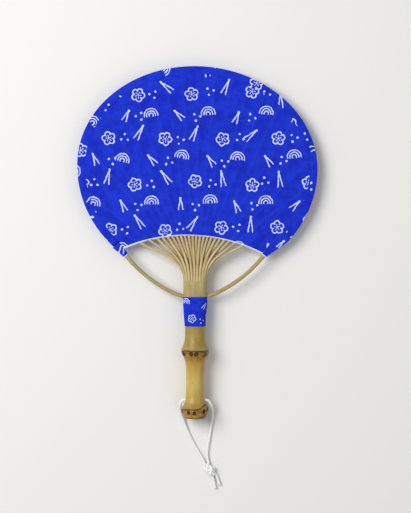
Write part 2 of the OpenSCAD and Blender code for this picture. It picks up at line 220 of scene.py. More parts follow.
def pathFrames(path):  # two directions square to the path at each point, turning as little as they can
    way = np.gradient(path, axis=0)
    way /= np.linalg.norm(way, axis=1)[:, None]
    side = np.cross(way[0], [0, 0, 1])
    side /= np.linalg.norm(side)
    sides = []
    for w in way:
        side = side - w * side.dot(w)
        side /= np.linalg.norm(side)
        sides.append(side)
    sides = np.array(sides)
    return sides, np.cross(way, sides)


def laidStrands(newName, path, work):  # yarns laid or plaited round a core, as one mesh
    length = pathLength(path)
    run = np.linspace(0, length, len(path))
    side, up = pathFrames(path)
    spread = 1 + work["fray"] * np.clip((run - length + 0.003) / 0.003, 0, 1) ** 2
    points, faces, uvs = [], [], []

    def addTube(centre, across, out, wide, thick, sides, shift):
        first = len(points)
        ring = np.arange(sides) * 2 * math.pi / sides
        for k, at in enumerate(centre):
            for a in ring:
                points.append(at + across[k] * math.cos(a) * wide + out[k] * math.sin(a) * thick)
                uvs.append((shift + a * wide, run[k]))
        for k in range(len(path) - 1):
            for s in range(sides):
                a, b = first + k * sides + s, first + k * sides + (s + 1) % sides
                faces.append((a, b, b + sides, a + sides))
        faces.append(tuple(first + s for s in reversed(range(sides))))
        faces.append(tuple(first + (len(path) - 1) * sides + s for s in range(sides)))

    if work["core"]:
        addTube(path, side, up, work["core"], work["core"], 12, 0.2)
    pairs = 2 if work["plaited"] else 1
    for index in range(work["yarns"]):
        turning = -1 if work["plaited"] and index % 2 else 1
        start = 2 * math.pi * (index // pairs) / (work["yarns"] / pairs)
        angle = (turning * 2 * math.pi * run / work["turn"] + start)[:, None]
        lift = work["yarnDrop"] * np.cos(work["yarns"] * math.pi * run / work["turn"]) * turning
        out = side * np.cos(angle) + up * np.sin(angle)
        across = up * np.cos(angle) - side * np.sin(angle)
        centre = path + out * ((work["yarnAt"] + lift) * spread)[:, None]
        addTube(centre, across, out, work["yarnWide"], work["yarnThick"], work["yarnSides"], index * 0.01)
    mesh = bpy.data.meshes.new(newName)
    mesh.from_pydata([tuple(p) for p in points], [], faces)
    setUv(mesh, uvs)
    piece = bpy.data.objects.new(newName, mesh)
    scene.collection.objects.link(piece)
    editAll(piece)
    leaveEdit()
    softShade(piece, 60)
    return piece


# Shader helpers
class Graph:  # a node tree, with a short call for each kind of node
    def __init__(self, tree):
        self.tree = tree

    def feed(self, node, inputs):  # links or sets each input
        for key, value in inputs.items():
            if isinstance(value, bpy.types.NodeSocket):
                self.tree.links.new(value, node.inputs[key])
            else:
                node.inputs[key].default_value = value

    def add(self, kind, inputs=None, out=0, **settings):
        node = self.tree.nodes.new("ShaderNode" + kind)
        for key, value in settings.items():
            setattr(node, key, value)
        self.feed(node, inputs or {})
        return node.outputs[out]

    def maths(self, operation, a, b=0.0, c=0.0, clamp=False):
        return self.add("Math", {0: a, 1: b, 2: c}, operation=operation, use_clamp=clamp)

    def plus(self, a, b):
        return self.maths("ADD", a, b)

    def minus(self, a, b):
        return self.maths("SUBTRACT", a, b)

    def times(self, a, b):
        return self.maths("MULTIPLY", a, b)

    def vectors(self, operation, a, b=(0, 0, 0), out=0):
        return self.add("VectorMath", {0: a, 1: b}, out, operation=operation)

    def scaled(self, vector, by):
        return self.add("VectorMath", {0: vector, "Scale": by}, operation="SCALE")

    def length(self, vector):
        return self.vectors("LENGTH", vector, out=1)

    def joined(self, x, y):
        return self.add("CombineXYZ", {0: x, 1: y})

    def part(self, vector, axis):
        return self.add("SeparateXYZ", {0: vector}, axis)

    def between(self, value, low, high, toLow=0.0, toHigh=1.0):  # maps a value smoothly from low..high
        inputs = {"Value": value, "From Min": low, "From Max": high, "To Min": toLow, "To Max": toHigh}
        return self.add("MapRange", inputs, interpolation_type="SMOOTHSTEP")

    def blend(self, share, a, b):
        return self.add("Mix", {0: share, 6: a, 7: b}, 2, data_type="RGBA")

    def noise(self, point, scale, detail, roughness=0.5, out=0):
        inputs = {"Vector": point, "Scale": scale, "Detail": detail, "Roughness": roughness}
        return self.add("TexNoise", inputs, out)

    def mark(self, name):
        return self.add("Attribute", out=2, attribute_name=name)

    def uv(self):
        return self.add("TexCoord", out="UV")

    def objectPoint(self):
        return self.add("TexCoord", out="Object")

    def group(self, group, inputs):
        node = self.tree.nodes.new("ShaderNodeGroup")
        node.node_tree = group
        self.feed(node, inputs)
        return node.outputs

    def bump(self, height, strength, distance):
        return self.add("Bump", {"Height": height, "Strength": strength, "Distance": distance})


def newGroup(name, inputs, outputs):  # its graph and its inputs, and the node that takes its results
    tree = bpy.data.node_groups.new(name, "ShaderNodeTree")
    for way, sockets in (("INPUT", inputs), ("OUTPUT", outputs)):
        for label, kind in sockets.items():
            tree.interface.new_socket(label, in_out=way, socket_type="NodeSocket" + kind)
    return Graph(tree), tree.nodes.new("NodeGroupInput").outputs, tree.nodes.new("NodeGroupOutput")


def newMaterial(name, **plain):
    material = bpy.data.materials.new(name)
    material.use_nodes = True
    g = Graph(material.node_tree)
    shader = g.tree.nodes["Principled BSDF"]
    g.feed(shader, {key.replace("_", " "): value for key, value in plain.items()})
    return material, g, shader


# Grain shared by all the bamboo: fine fibres, slow blotches and dark flecks, on points in metres
def makeGrain():
    g, inputs, results = newGroup("bambooGrain", {"Point": "Vector", "Across": "Float"},
                                  {"Fibre": "Float", "Blotch": "Float", "Fleck": "Float"})
    point = g.scaled(inputs["Point"], 1000)
    long = g.scaled(g.vectors("MULTIPLY", point, (1, 0.035, 1)), inputs["Across"])
    fibre = g.plus(g.times(g.noise(long, 1.3, 4), 0.55), g.times(g.noise(long, 5, 3), 0.45))
    blotch = g.noise(g.vectors("MULTIPLY", point, (0.16, 0.05, 0.16)), 1, 5, 0.6)
    fleck = g.noise(g.vectors("MULTIPLY", point, (0.9, 0.25, 0.9)), 1, 6, 0.7)
    g.feed(results, {"Fibre": g.between(fibre, 0.36, 0.64), "Blotch": g.between(blotch, 0.38, 0.66),
                     "Fleck": g.between(fleck, 0.63, 0.72)})
    return g.tree


grainGroup = makeGrain()


# Print: traditional small motifs scattered on blue handmade paper
printWork = {
    "cell": (58.0, 46.0),  # millimetres between two motifs of a kind
    "size": 1.15,
    "jitter": (5, 5, 0),
    "shake": 1.6,  # how far an outline wanders
    "ink": srgb(206, 219, 252),
    "bare": srgb(226, 230, 240),
    "blue": srgb(24, 51, 200),
    "deepBlue": srgb(16, 37, 182),
    "paleBlue": srgb(50, 75, 210),
}


def cellPoint(g, point, offset, turn, seed):  # the point in its own cell, jittered and turned a little
    wide, high = printWork["cell"]
    cells = g.vectors("DIVIDE", g.vectors("ADD", point, (*offset, 0)), (wide, high, 1))
    row = g.maths("FLOOR", g.part(cells, 1))
    across = g.plus(g.part(cells, 0), g.times(g.maths("FLOORED_MODULO", row, 2.0), 0.5))
    cell = g.add("CombineXYZ", {0: g.maths("FLOOR", across), 1: row, 2: float(seed)})
    chance = g.add("TexWhiteNoise", {"Vector": cell}, 1)
    inside = g.joined(*[g.minus(g.maths("FRACT", at), 0.5) for at in (across, g.part(cells, 1))])
    inside = g.vectors("MULTIPLY", inside, (wide, high, 0))
    jitter = g.vectors("MULTIPLY", g.vectors("SUBTRACT", chance, (0.5, 0.5, 0)), printWork["jitter"])
    inside = g.scaled(g.vectors("ADD", inside, jitter), 1 / printWork["size"])
    angle = g.times(g.minus(g.add("SeparateColor", {0: chance}, 2), 0.5), turn)
    return g.add("VectorRotate", {"Vector": inside, "Angle": angle}, rotation_type="Z_AXIS")


def foldRound(g, point, times):  # folds the plane round its middle, so that one stroke shows many times
    angle = g.maths("ARCTAN2", g.part(point, 1), g.part(point, 0))
    sector = 2 * math.pi / times
    folded = g.minus(g.maths("FLOORED_MODULO", angle, sector), sector / 2)
    reach = g.length(point)
    return g.joined(g.times(reach, g.maths("COSINE", folded)), g.times(reach, g.maths("SINE", folded)))


def strokeAway(g, point, a, b):  # distance from a straight stroke
    a, b = Vector((*a, 0)), Vector((*b, 0))
    apart = g.vectors("SUBTRACT", point, tuple(a))
    dot = g.vectors("DOT_PRODUCT", apart, tuple(b - a), out=1)
    share = g.maths("DIVIDE", dot, (b - a).length_squared, clamp=True)
    return g.length(g.vectors("SUBTRACT", apart, g.scaled(tuple(b - a), share)))


def spotAway(g, point, at):  # distance from a dot
    return g.length(g.vectors("SUBTRACT", point, (*at, 0)))


def printMarks(g, point):  # each mark's distance and half width
    local = cellPoint(g, point, (4, 9), 1.2, 1)
    petal = foldRound(g, local, 5)
    rim = g.maths("ABSOLUTE", g.minus(spotAway(g, petal, (3.5, 0)), 2.3))
    middle = g.length(local)
    blossom = [(g.maths("MAXIMUM", rim, g.minus(3.3, middle)), 0.52),
               (strokeAway(g, petal, (1.4, 0), (2.7, 0)), 0.32), (middle, 0.75)]
    needles = []
    for offset, turn, seed, tall in (((31, 3), 2.2, 2, 6.6), ((17, 32), 1.8, 5, 5.0)):
        local = cellPoint(g, point, offset, turn, seed)
        needles += [(strokeAway(g, local, (0, tall), (side, -tall)), 0.5) for side in (-2.1, 2.1)]
        needles.append((spotAway(g, local, (0, tall)), 0.95))
    local = cellPoint(g, point, (47, 30), 0.5, 3)
    below = g.minus(g.times(g.part(local, 1), -1.0), 0.6)
    waves = []
    for radius in (1.9, 4.0, 6.1):
        arc = g.maths("ABSOLUTE", g.minus(g.length(local), radius))
        waves.append((g.maths("MAXIMUM", arc, below), 0.46))
    dots = []
    for offset, seed in (((2, 32), 4), ((45, 9), 6)):
        local = cellPoint(g, point, offset, 3.0, seed)
        dots.append((spotAway(g, foldRound(g, local, 3), (3.3, 0)), 0.95))
    return blossom + needles + waves + dots


def makePrint():
    g, inputs, results = newGroup("printedWashi", {"Point": "Vector"},
                                  {"Color": "Color", "Height": "Float", "Ink": "Float"})
    point = g.scaled(inputs["Point"], 1000)
    shake = g.vectors("SUBTRACT", g.noise(point, 0.35, 2, out=1), (0.5, 0.5, 0.5))
    flat = g.vectors("ADD", point, g.scaled(shake, printWork["shake"]))
    flat = g.vectors("MULTIPLY", flat, (1, 1, 0))
    rough = g.times(g.minus(g.noise(point, 1.4, 3), 0.5), 0.9)  # ragged outlines
    ink = 0.0
    for away, half in printMarks(g, flat):
        ink = g.maths("MAXIMUM", g.between(g.plus(away, rough), half - 0.14, half + 0.14, 1.0, 0.0), ink)
    ink = g.times(ink, g.between(g.noise(point, 2.2, 4, 0.7), 0.3, 0.48, 0.55, 1.0))  # thin in places
    cloud = g.between(g.noise(point, 0.09, 8, 0.62), 0.35, 0.65)
    colour = g.blend(cloud, printWork["deepBlue"], printWork["blue"])
    speck = g.noise(point, 1.1, 5, 0.75)
    colour = g.blend(g.between(speck, 0.55, 0.85, 0.0, 0.5), colour, printWork["paleBlue"])
    fibres = 0.0  # long ones, where the paper shows them
    for shift, scale, detail in (((0, 0, 0), 0.12, 1.5), ((71, 37, 11), 0.17, 1)):
        bend = g.noise(g.vectors("ADD", point, shift), scale, detail)
        fibre = g.between(g.maths("ABSOLUTE", g.minus(bend, 0.5)), 0.0, 0.004, 1.0, 0.0)
        fibres = g.maths("MAXIMUM", fibre, fibres)
    fibres = g.times(fibres, g.between(speck, 0.46, 0.6))
    colour = g.blend(g.times(fibres, 0.35), colour, printWork["paleBlue"])
    height = g.plus(g.plus(g.times(speck, 0.7), g.times(fibres, 0.5)), g.times(ink, 0.15))
    g.feed(results, {"Color": g.blend(ink, colour, printWork["ink"]), "Height": height, "Ink": ink})
    return g.tree


printGroup = makePrint()


# White cut edges: the lower edge of the sheets and the mouths of the ears
edgeWork = {
    "centre": (-0.01025, -0.15783),  # of the round of the lower edge
    "radius": 0.165,
    "sheetWhite": 0.0004,
    "sheetWiden": 0.008,  # how much wider it gets with each metre from the middle
    "earWhite": 0.0008,
    "mouth": (0.0702, -0.01389),  # of the right ear, from the handle's line
    "tipTurn": math.radians(51.5),  # the bow's heading where it goes under the paper
}


def sheetEdge(g, point):  # 1 on the cut edge
    away = g.vectors("DISTANCE", g.vectors("MULTIPLY", point, (1, 1, 0)), (*edgeWork["centre"], 0), out=1)
    wide = g.times(g.maths("ABSOLUTE", g.part(point, 0)), edgeWork["sheetWiden"])
    return g.maths("LESS_THAN", away, g.plus(wide, edgeWork["radius"] + edgeWork["sheetWhite"]))


def earEdge(g, point):  # 1 on both mouths
    across = g.maths("ABSOLUTE", g.minus(g.part(point, 0), handleX))
    inward = (math.cos(edgeWork["tipTurn"]), math.sin(edgeWork["tipTurn"]), 0)
    past = g.vectors("SUBTRACT", g.joined(across, g.part(point, 1)), (*edgeWork["mouth"], 0))
    return g.maths("LESS_THAN", g.vectors("DOT_PRODUCT", past, inward, out=1), edgeWork["earWhite"])


def paperMaterial(name, shift, turn=0.0, size=1.0, onUv=False, cutEdge=None):
    material, g, shader = newMaterial(name, Roughness=0.85, Specular_IOR_Level=0.12)
    place = g.objectPoint()
    point = g.add("Mapping", {"Vector": g.uv() if onUv else place, "Location": shift,
                              "Rotation": (0, 0, turn), "Scale": (size, size, size)})
    printed = g.group(printGroup, {"Point": point})
    colour = printed["Color"]
    if cutEdge == sheetEdge:  # rubbed a little paler over the ribs
        colour = g.blend(g.times(g.mark("ridge"), 0.16), colour, printWork["paleBlue"])
    if cutEdge:
        colour = g.blend(cutEdge(g, place), colour, printWork["bare"])
    g.feed(shader, {"Base Color": colour, "Roughness": g.between(printed["Ink"], 0.0, 1.0, 0.8, 0.62),
                    "Normal": g.bump(printed["Height"], 0.35, 0.00012)})
    return material


facePaper = paperMaterial("printedFace", (0, 0, 0), cutEdge=sheetEdge)
backPaper = paperMaterial("printedBack", (0.021, 0.013, 0), 2.6, cutEdge=sheetEdge)
bindingPaper = paperMaterial("printedBinding", (0.029, 0.002, 0), 0.9)
bandPaper = paperMaterial("printedBand", (0.004, 0.0176, 0), 0.25, 1.65, onUv=True)
earPaper = paperMaterial("printedEar", (0.031, 0.02, 0), 0.6, cutEdge=earEdge)


# Culm skin, with its colour changing along the handle
skinWork = {
    "stops": [  # height above the butt in millimetres, colour
        (0, (108, 74, 20)), (2.2, (176, 134, 42)), (5, (166, 108, 20)), (8.4, (154, 98, 20)),
        (9.6, (66, 42, 16)), (10.6, (146, 116, 50)), (17, (178, 144, 58)), (36, (198, 170, 90)),
        (54, (188, 150, 56)), (60, (175, 124, 24)), (67.4, (152, 100, 18)), (68.9, (58, 36, 16)),
        (69.8, (148, 124, 74)), (71.6, (152, 128, 74)), (75, (146, 120, 40)), (84, (156, 130, 48)),
        (98, (154, 128, 50)), (116, (157, 135, 80)), (124, (159, 141, 92)), (140, (176, 160, 112)),
    ],
    "dark": srgb(74, 46, 14),
    "olive": srgb(122, 110, 40),
    "pale": srgb(214, 192, 130),
    "scar": srgb(22, 10, 6),
}


def makeSkin():
    material, g, shader = newMaterial("bambooSkin", Specular_IOR_Level=0.35)
    point = g.objectPoint()
    grain = g.group(grainGroup, {"Point": point, "Across": 1.0})
    wobble = g.times(g.minus(g.noise(point, 260, 3), 0.5), 0.002)
    height = g.minus(g.plus(g.part(point, 1), wobble), g.mark("rise"))
    ramp = g.tree.nodes.new("ShaderNodeValToRGB")
    g.feed(ramp, {0: g.maths("DIVIDE", g.minus(height, buttY), culmLength)})
    stops = ramp.color_ramp.elements
    stops[0].color, stops[1].color = [srgb(*skinWork["stops"][k][1]) for k in (0, -1)]
    for spot, colour in skinWork["stops"][1:-1]:
        stops.new(spot / 1000 / culmLength).color = srgb(*colour)
    mottle = g.times(g.between(g.noise(point, 420, 5, 0.7), 0.45, 0.62), g.mark("nodeBand"))
    colour = ramp.outputs[0]
    layers = ((grain["Fibre"], 0.2, "pale"), (grain["Blotch"], 0.36, "olive"), (mottle, 0.62, "dark"),
              (grain["Fleck"], 0.55, "dark"), (g.mark("scar"), 1, "scar"))
    for share, strength, over in layers:
        colour = g.blend(g.times(share, strength), colour, skinWork[over])
    rough = g.plus(g.between(grain["Blotch"], 0, 1, 0.3, 0.42), g.times(g.mark("scraped"), 0.25))
    g.feed(shader, {"Base Color": colour, "Roughness": rough,
                    "Normal": g.bump(grain["Fibre"], 0.3, 0.00012)})
    return material


skinMaterial = makeSkin()


def splitMaterial(name, base, shade, pale, rough, fleckShare):  # bamboo on its own uv, length along v
    material, g, shader = newMaterial(name, Specular_IOR_Level=0.4)
    grain = g.group(grainGroup, {"Point": g.uv(), "Across": 1.6})
    colour = g.blend(grain["Fibre"], srgb(*shade), srgb(*base))
    colour = g.blend(g.times(grain["Blotch"], 0.45), colour, srgb(*pale))
    colour = g.blend(g.times(grain["Fleck"], fleckShare), colour, srgb(96, 74, 36))
    # painted shade: each rib turns darker brown towards its edges and sides, beside the gaps
    colour = g.blend(g.times(g.mark("ribEdgeShade"), 0.6), colour, srgb(128, 100, 52))
    g.feed(shader, {"Base Color": colour, "Normal": g.bump(grain["Fibre"], 0.35, 0.0001),
                    "Roughness": g.between(grain["Fibre"], 0, 1, rough + 0.08, rough - 0.05)})
    return material


ribMaterial = splitMaterial("bambooSplint", (206, 188, 138), (178, 156, 102), (222, 208, 164), 0.55, 0.35)
bowMaterial = splitMaterial("bambooBow", (170, 156, 102), (140, 124, 72), (186, 172, 118), 0.42, 0.5)


def cottonMaterial(name, base, shade):  # fibres along the yarn, a little grime
    material, g, shader = newMaterial(name, Roughness=0.85, Specular_IOR_Level=0.25, Sheen_Weight=0.35,
                                      Sheen_Roughness=0.5)
    fibre = g.noise(g.vectors("MULTIPLY", g.uv(), (9000, 1500, 1)), 1, 3)
    colour = g.blend(g.between(fibre, 0.3, 0.7), srgb(*shade), srgb(*base))
    grime = g.between(g.noise(g.objectPoint(), 180, 4), 0.5, 0.75, 0.0, 0.3)
    g.feed(shader, {"Base Color": g.blend(grime, colour, srgb(*shade)),
                    "Normal": g.bump(fibre, 0.5, 0.00006)})
    return material


cordMaterial = cottonMaterial("whiteCotton", (248, 249, 245), (230, 232, 224))
threadMaterial = cottonMaterial("whiteThread", (240, 240, 232), (214, 212, 196))
print("materials made")


# Hanging cord: two plaited strands, tied together in one overhand knot
cordWork = {
    "diameter": 0.0028,
    "holeHeight": 0.0187,  # above the butt
    "holeRadius": 0.0017,
    "step": 0.0004,
    "yarns": 8,
    "plaited": True,
    "yarnSides": 6,
    "turn": 0.0068,  # length in which a yarn goes once round
    "core": 0.00116,
    "yarnAt": 0.00118,
    "yarnDrop": 0.0001,
    "yarnWide": 0.00066,
    "yarnThick": 0.00024,
    "fray": 0.0,
    "endFray": 0.35,
}
holeY = buttY + cordWork["holeHeight"]
leftRoute = [  # right of the handle's line, up from the hole, share of the way from table to hole
    (-0.0100, 0, 1), (-0.0114, 0, 1), (-0.0135, -0.0014, 0.94), (-0.0150, -0.0044, 0.82),
    (-0.0154, -0.0082, 0.64), (-0.0148, -0.0124, 0.44), (-0.0137, -0.0168, 0.27), (-0.0122, -0.0218, 0.13),
    (-0.0102, -0.0274, 0.05), (-0.0077, -0.0336, 0.01), (-0.0047, -0.0401, 0), (-0.0012, -0.0468, 0),
    (0.0026, -0.0534, 0), (0.0062, -0.0595, 0.01), (0.0089, -0.0646, 0.05), (0.0108, -0.0686, 0.1)]
rightRoute = [
    (0.0100, 0, 1), (0.0114, 0, 1), (0.0138, -0.0013, 0.94), (0.0158, -0.0043, 0.83),
    (0.0172, -0.0082, 0.65), (0.0177, -0.0126, 0.45), (0.0176, -0.0176, 0.27), (0.0171, -0.0231, 0.13),
    (0.0164, -0.0288, 0.04), (0.0155, -0.0351, 0.01), (0.0144, -0.0418, 0), (0.0132, -0.0486, 0),
    (0.0124, -0.0552, 0.01), (0.0126, -0.0612, 0.05), (0.0139, -0.0665, 0.1)]
leftTail = [(0.0177, -0.0786, 0.1), (0.0187, -0.0829, 0.05), (0.0198, -0.0876, 0.03), (0.0208, -0.0922, 0.04)]
rightTail = [(0.0206, -0.077, 0.1), (0.0225, -0.0806, 0.05), (0.024, -0.0845, 0.03), (0.0251, -0.0884, 0.04)]


def cordPoints(route):  # its points in the frame
    low = cordWork["diameter"] / 2
    return [(handleX + x, holeY + y, mix(low, axisZ, share)) for x, y, share in route]


strands = {}
for side, route in (("left", leftRoute), ("right", rightRoute)):
    path = roundedPath(cordPoints(route), cordWork["step"])
    strands[side] = (path, laidStrands("hang_cord_" + side, path, cordWork))
corePath = evenPath(np.array([strands["left"][0][0], strands["right"][0][0]]), cordWork["step"])
core = laidStrands("hang_cord_inside", corePath, cordWork)

knotWork = {
    "beads": 84,
    "contact": (0.0012, 0.0022),  # how close two strands come, while they are pulled and at the end
    "loose": 0.0040,  # size of the first, open loop
    "rounds": 520,
    "shrink": 0.9965,
    "stretch": 1.05,
    "bend": 0.06,
    "passes": 6,  # in each round
    "push": 0.6,
    "sag": 0.00001,
    "lowest": 1.04,  # in half diameters above the table
    "apart": 0.0013,  # how far either strand lies from the middle at first
    "middleHigh": 0.006,
    "overUnder": 0.0045,
}


def openKnot(start, end, shift):  # an overhand knot, still open, from one point to another
    start, end = np.array(start), np.array(end)
    along = (end - start) / np.linalg.norm(end - start)
    across = np.array([along[1], -along[0], 0])
    across /= np.linalg.norm(across)
    middle = (start + end) / 2
    middle[2] = knotWork["middleHigh"]
    points = []
    for t in np.linspace(-2.05, 2.05, 60):
        x = (t ** 3 - 3 * t) * knotWork["loose"]
        y = (t ** 4 - 4 * t ** 2 + 2) * knotWork["loose"]
        z = knotWork["overUnder"] * math.sin(math.pi * t / 0.62) * math.exp(-abs(t) * 0.15)
        points.append(middle + along * x + across * (y + shift) + np.array([0, 0, z]))
    points = np.array([start, *points, end])
    return evenPath(points, pathLength(points) / (knotWork["beads"] - 1))


def tieKnot(strandPaths, tailPaths):  # pulls two strands tight together, bead by bead
    starts, ends = [p[-1] for p in strandPaths], [p[0] for p in tailPaths]
    shifts = (-knotWork["apart"], knotWork["apart"])
    chains = [openKnot(s, e, h)[:knotWork["beads"]] for s, e, h in zip(starts, ends, shifts)]
    count = min(len(c) for c in chains)
    chains = [c[:count] for c in chains]
    beads = np.concatenate(chains)
    for k in range(2):
        first, last = k * count, (k + 1) * count - 1
        beads[first], beads[first + 1] = starts[k], 2 * strandPaths[k][-1] - strandPaths[k][-3]
        beads[last], beads[last - 1] = ends[k], 2 * tailPaths[k][0] - tailPaths[k][2]
    index = np.arange(2 * count)
    same = (index[:, None] // count) == (index[None, :] // count)
    gap = np.abs(index[:, None] - index[None, :])
    upper = index[:, None] < index[None, :]
    fixed = np.zeros(2 * count, bool)
    fixed[[0, 1, count - 2, count - 1, count, count + 1, 2 * count - 2, 2 * count - 1]] = True
    rest = pathLength(chains[0]) / (count - 1)
    links = np.array([i for i in range(2 * count - 1) if i != count - 1])
    low = cordWork["diameter"] / 2 * knotWork["lowest"]
    for turn in range(knotWork["rounds"]):
        reach = np.linalg.norm(beads[links + 1] - beads[links], axis=1).mean()
        if reach < rest * knotWork["stretch"]:
            rest *= knotWork["shrink"]
        contact = mix(*knotWork["contact"], smooth((turn / knotWork["rounds"] - 0.3) / 0.6))
        near = max(int(contact / rest * 1.25), 2)
        for _ in range(knotWork["passes"]):
            step = beads[links + 1] - beads[links]
            size = np.linalg.norm(step, axis=1)[:, None]
            pull = step * (0.5 * (size - rest) / size)
            np.add.at(beads, links, pull * ~fixed[links][:, None])
            np.add.at(beads, links + 1, -pull * ~fixed[links + 1][:, None])
            apart = beads[:, None, :] - beads[None, :, :]
            far = np.linalg.norm(apart, axis=2) + 1e-9
            touch = upper & (far < contact) & (~same | (gap > near))
            a, b = np.nonzero(touch)
            push = apart[a, b] * (0.5 * (contact - far[a, b]) / far[a, b])[:, None] * knotWork["push"]
            np.add.at(beads, a, push * ~fixed[a][:, None])
            np.add.at(beads, b, -push * ~fixed[b][:, None])
            beads[:, 2] = np.where(fixed, beads[:, 2], np.maximum(beads[:, 2], low))
        middle = (beads[:-2] + beads[2:]) / 2
        ease = np.zeros_like(beads)
        ease[1:-1] = (middle - beads[1:-1]) * knotWork["bend"]
        ease[[count - 1, count]] = 0
        beads += ease * ~fixed[:, None]
        beads[:, 2] -= np.where(fixed, 0, knotWork["sag"])
    print("knot tied, bead step", round(rest * 1000, 3), "mm")
    return beads[:count], beads[count:]


tailPaths = [roundedPath(cordPoints(route), cordWork["step"]) for route in (leftTail, rightTail)]
tied = tieKnot([strands["left"][0], strands["right"][0]], tailPaths)
knotPaths = [roundedPath([*chain[:-1:2], chain[-1]], cordWork["step"]) for chain in tied]
knotParts = [laidStrands("knot_part", path, cordWork) for path in knotPaths]
pickOnly(knotParts[0])
knotParts[1].select_set(True)
bpy.ops.object.join()
knot = knotParts[0]
knot.name = "overhand_knot"
frayed = dict(cordWork, fray=cordWork["endFray"])
tails = [laidStrands("cord_end_" + side, path, frayed) for side, path in zip(("left", "right"), tailPaths)]
for piece, node in ((tails[0], "tail_left"), (tails[1], "tail_right"), (knot, "knot"), (core, "core"),
                    (strands["left"][1], "left"), (strands["right"][1], "right")):
    finishPiece(piece, "hang_cord", cordMaterial, "cord_" + node)
for side, pieces in (("left", [knot, *tails]), ("right", [])):
    path, strand = strands[side]
print("cord laid")


# Ribs: one splint each, with softened edges and the small unevenness of a hand-split culm
ribWork = {
    "fanHeight": 0.016,  # how far above the neck a rib bends outwards
    "edge": 0.0001,
    "uneven": (0.00007, 0.00007, 0.00002),
    "unevenRun": (900, 160, 3.7),  # how quickly that changes across, along and from rib to rib
    "closedTo": 0.011,  # how far above the neck two neighbours still touch
    "opensIn": 0.007,
    "slit": 0.00004,
    "widest": 1.25,
    "half": 0.0007,
    # the next value is how far in from the rib's edges the painted shade reaches
    "edgeShadeWide": 0.0005,
    "grainShift": (0.013, 0.031),  # from rib to rib, so that no two have the same grain
}
ribNames = sorted(name for name in nodes if name.startswith("rib_"))


def ribLine(name):  # its run seen from above: a bend from the root past the knee, then straight to the tip
    spots = np.array(sorted({tuple(round(c, 6) for c in v.co) for v in nodes[name].data.vertices}))
    root = spots[spots[:, 1] < spots[:, 1].min() + 0.00001].mean(axis=0)
    away = np.linalg.norm(spots[:, :2] - root[:2], axis=1)
    tip = spots[away > away.max() - 0.0004].mean(axis=0)
    knee = Vector((root[0], root[1] + ribWork["fanHeight"]))
    tip = Vector((tip[0], tip[1]))
    way = (tip - knee).normalized()
    turn = math.atan2(way.x, way.y)
    bendR = ribWork["fanHeight"] / math.tan(abs(turn) / 2) if abs(turn) >= 0.001 else 0
    return {"root": Vector((root[0], root[1])), "knee": knee, "tip": tip, "way": way, "turn": turn,
            "bendR": bendR, "bendLength": bendR * abs(turn)}


def alongRib(line, x, y):  # how far right of the rib's middle a point is, and how far along it
    way, knee, bendR, high = line["way"], line["knee"], line["bendR"], ribWork["fanHeight"]
    if not bendR:
        return x - knee.x, y - line["root"].y
    side = math.copysign(1, line["turn"])
    off = Vector((x, y)) - knee
    ahead = off.dot(way)
    if ahead > high:
        return off.x * way.y - off.y * way.x, line["bendLength"] + ahead - high
    out = Vector((x, y)) - (line["root"] + Vector((side * bendR, 0)))
    return side * (bendR - out.length), bendR * math.atan2(out.y, -side * out.x)


def ribAt(line, along):  # the rib's middle some way along it
    bendR = line["bendR"]
    if not bendR:
        return line["root"] + Vector((0, along))
    if along > line["bendLength"]:
        return line["knee"] + line["way"] * (ribWork["fanHeight"] + along - line["bendLength"])
    a = along / bendR
    return line["root"] + bendR * Vector((math.copysign(1 - math.cos(a), line["turn"]), math.sin(a)))


def ribWiden(number, along, half):  # how much wider a rib looks where it still lies against its neighbours
    here = ribAt(ribLines[number], along)
    others = [ribLines[k] for k in (number - 2, number + 2) if 0 <= k < len(ribLines)]
    pitch = min((ribAt(line, along) - here).length for line in others)
    wider = min(max((pitch - ribWork["slit"]) / 2 / half, 1), ribWork["widest"])
    return mix(1, wider, fade(along, ribWork["closedTo"], ribWork["opensIn"]))


ribLines = [ribLine(name) for name in ribNames]
for number, (name, line) in enumerate(zip(ribNames, ribLines)):
    splint = workCopy(name, name + "_splint")
    applyNew(splint, "BEVEL", width=ribWork["edge"], segments=2, limit_method="ANGLE",
             angle_limit=math.radians(40))
    applyNew(splint, "SUBSURF", subdivision_type="SIMPLE", levels=1, render_levels=1)
    places = [alongRib(line, v.co.x, v.co.y) for v in splint.data.vertices]
    # painted shade mask: 0 in the rib's middle, rising to 1 on its edges and sides
    markPoints(splint, "ribEdgeShade", [smooth((abs(across) - ribWork["half"]) / ribWork["edgeShadeWide"])
                                 for across, along in places])
    half = {}  # the rib's half width at each millimetre of its length
    for across, along in places:
        half[round(along, 3)] = max(half.get(round(along, 3), ribWork["half"]), abs(across))
    for vertex, (across, along) in zip(splint.data.vertices, places):
        if 4 <= number < len(ribLines) - 4:
            wider = across * (ribWiden(number, along, half[round(along, 3)]) - 1)
            vertex.co += Vector((line["way"].y * wider, -line["way"].x * wider, 0))
        if vertex.co.y > neckY + 0.001:
            seed = Vector([value * run for value, run in zip((across, along, number), ribWork["unevenRun"])])
            vertex.co += noise.noise_vector(seed) * Vector(ribWork["uneven"])
    shift = Vector(ribWork["grainShift"]) * number
    setUv(splint.data, [(across + shift.x, along + shift.y) for across, along in places])
    softShade(splint, 40)
    finishPiece(splint, "fan", ribMaterial, name)
print("ribs split")


